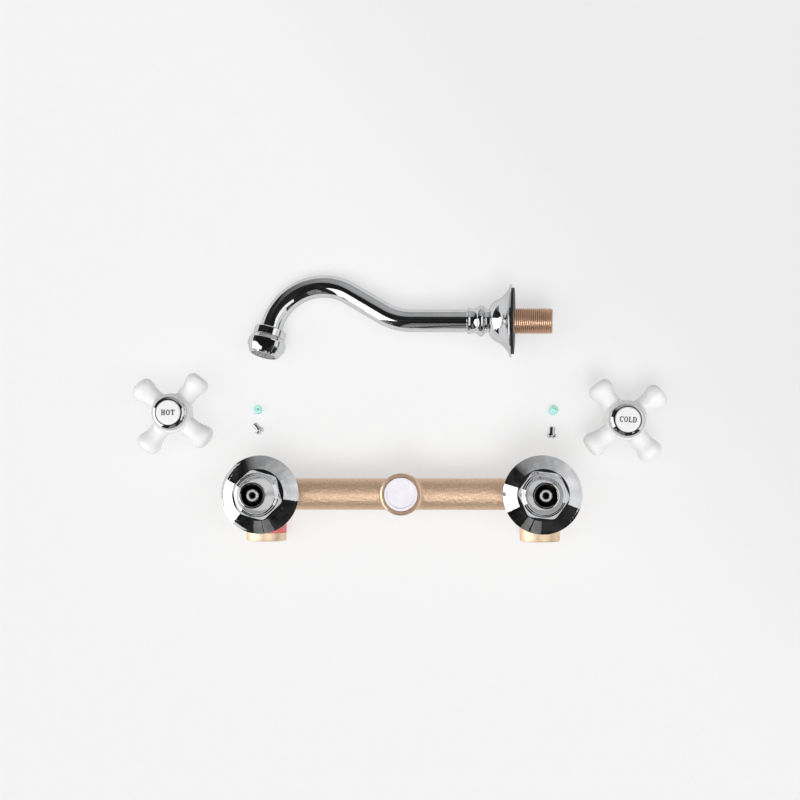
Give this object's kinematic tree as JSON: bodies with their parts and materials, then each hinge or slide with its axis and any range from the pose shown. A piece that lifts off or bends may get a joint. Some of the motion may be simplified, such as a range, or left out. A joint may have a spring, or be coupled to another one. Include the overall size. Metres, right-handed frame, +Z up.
{
  "type": "wall mixer tap",
  "caption": "Wall-mounted basin mixer laid out in its pieces: cast brass body with chrome bonnets and flanges, a swan-neck spout and white porcelain cross handles.",
  "frame": {"origin": "on the table, under the middle of the whole layout's box", "axes": "+X along the mixer's bar from the hot side to the cold side, +Y away from the inlets, +Z up from the table, which is out of the wall for the mixer"},
  "size_m": [0.3504, 0.1778, 0.0698],
  "materials": {
    "raw_brass": "as cast, fine grained",
    "turned_brass": "turned, threaded",
    "chrome": "polished plating",
    "steel": "plated",
    "porcelain": "glossy white glaze",
    "valve_ceramic": "lapped",
    "black_rubber": "matt",
    "red_paint": "gloss",
    "pale_plastic": "semi gloss",
    "aqua_plastic": "translucent",
    "dark_plastic": "matt"
  },
  "bodies": {
    "mixer": {"mixer_body": "raw_brass", "hot_mark": "red_paint", "hot_headwork": "turned_brass", "hot_headwork_gasket": "black_rubber", "hot_seat_seal": "black_rubber", "hot_fixed_disc": "valve_ceramic", "hot_bonnet": "chrome", "cold_headwork": "turned_brass", "cold_headwork_gasket": "black_rubber", "cold_seat_seal": "black_rubber", "cold_fixed_disc": "valve_ceramic", "cold_bonnet": "chrome"},
    "hot_spindle": {"hot_spindle": "steel", "hot_turning_disc": "valve_ceramic", "hot_spindle_seals": "black_rubber", "hot_circlip": "steel"},
    "hot_wall_flange": {"hot_wall_flange": "chrome"},
    "hot_handle": {"hot_handle_cross": "porcelain", "hot_handle_bush": "turned_brass"},
    "hot_index": {"hot_index_bezel": "chrome", "hot_index_disc": "porcelain"},
    "hot_screw": {"hot_handle_screw": "steel"},
    "hot_plug": {"hot_fixing_plug": "aqua_plastic"},
    "cold_spindle": {"cold_spindle": "steel", "cold_turning_disc": "valve_ceramic", "cold_spindle_seals": "black_rubber", "cold_circlip": "steel"},
    "cold_wall_flange": {"cold_wall_flange": "chrome"},
    "cold_handle": {"cold_handle_cross": "porcelain", "cold_handle_bush": "turned_brass"},
    "cold_index": {"cold_index_bezel": "chrome", "cold_index_disc": "porcelain"},
    "cold_screw": {"cold_handle_screw": "steel"},
    "cold_plug": {"cold_fixing_plug": "aqua_plastic"},
    "outlet_plug": {"outlet_plug": "pale_plastic"},
    "spout": {"spout_tube": "chrome", "spout_collar": "chrome", "spout_tail": "turned_brass", "nozzle_ring": "chrome"},
    "spout_flange": {"spout_flange": "chrome", "spout_flange_gasket": "black_rubber"},
    "aerator": {"aerator_housing": "chrome", "aerator_washer": "black_rubber", "aerator_insert": "dark_plastic"}
  },
  "joints": [
    {"name": "hot_handle_lift", "type": "slide", "parent": "mixer", "child": "hot_handle", "axis": [0, 0, 1], "range_m": [0, 0.05]},
    {"name": "hot_spindle_turn", "type": "hinge", "parent": "mixer", "child": "hot_spindle", "pos_m": [-0.08661, -0.05813, 0], "axis": [0, 0, 1], "range_deg": [0, 90]},
    {"name": "hot_index_lift", "type": "slide", "parent": "hot_handle", "child": "hot_index", "axis": [0, 0, 1], "range_m": [0, 0.014]},
    {"name": "hot_wall_flange_lift", "type": "slide", "parent": "mixer", "child": "hot_wall_flange", "axis": [0, 0, 1], "range_m": [0, 0.032]},
    {"name": "hot_screw_lift", "type": "slide", "parent": "mixer", "child": "hot_screw", "axis": [0, 0, 1], "range_m": [0, 0.03]},
    {"name": "hot_plug_lift", "type": "slide", "parent": "mixer", "child": "hot_plug", "axis": [0, 0, 1], "range_m": [0, 0.03]},
    {"name": "cold_handle_lift", "type": "slide", "parent": "mixer", "child": "cold_handle", "axis": [0, 0, 1], "range_m": [0, 0.05]},
    {"name": "cold_spindle_turn", "type": "hinge", "parent": "mixer", "child": "cold_spindle", "pos_m": [0.09339, -0.05813, 0], "axis": [0, 0, 1], "range_deg": [-90, 0]},
    {"name": "cold_index_lift", "type": "slide", "parent": "cold_handle", "child": "cold_index", "axis": [0, 0, 1], "range_m": [0, 0.014]},
    {"name": "cold_wall_flange_lift", "type": "slide", "parent": "mixer", "child": "cold_wall_flange", "axis": [0, 0, 1], "range_m": [0, 0.032]},
    {"name": "cold_screw_lift", "type": "slide", "parent": "mixer", "child": "cold_screw", "axis": [0, 0, 1], "range_m": [0, 0.03]},
    {"name": "cold_plug_lift", "type": "slide", "parent": "mixer", "child": "cold_plug", "axis": [0, 0, 1], "range_m": [0, 0.03]},
    {"name": "outlet_plug_lift", "type": "slide", "parent": "mixer", "child": "outlet_plug", "axis": [0, 0, 1], "range_m": [0, 0.02]},
    {"name": "spout_lift", "type": "slide", "parent": "mixer", "child": "spout", "axis": [0, 0, 1], "range_m": [0, 0.05]},
    {"name": "spout_flange_slide", "type": "slide", "parent": "spout", "child": "spout_flange", "axis": [0.9959, -0.0209, 0.0883], "range_m": [0, 0.02]},
    {"name": "aerator_off", "type": "slide", "parent": "spout", "child": "aerator", "axis": [-0.2352, -0.9574, 0.1676], "range_m": [0, 0.01]}
  ]
}
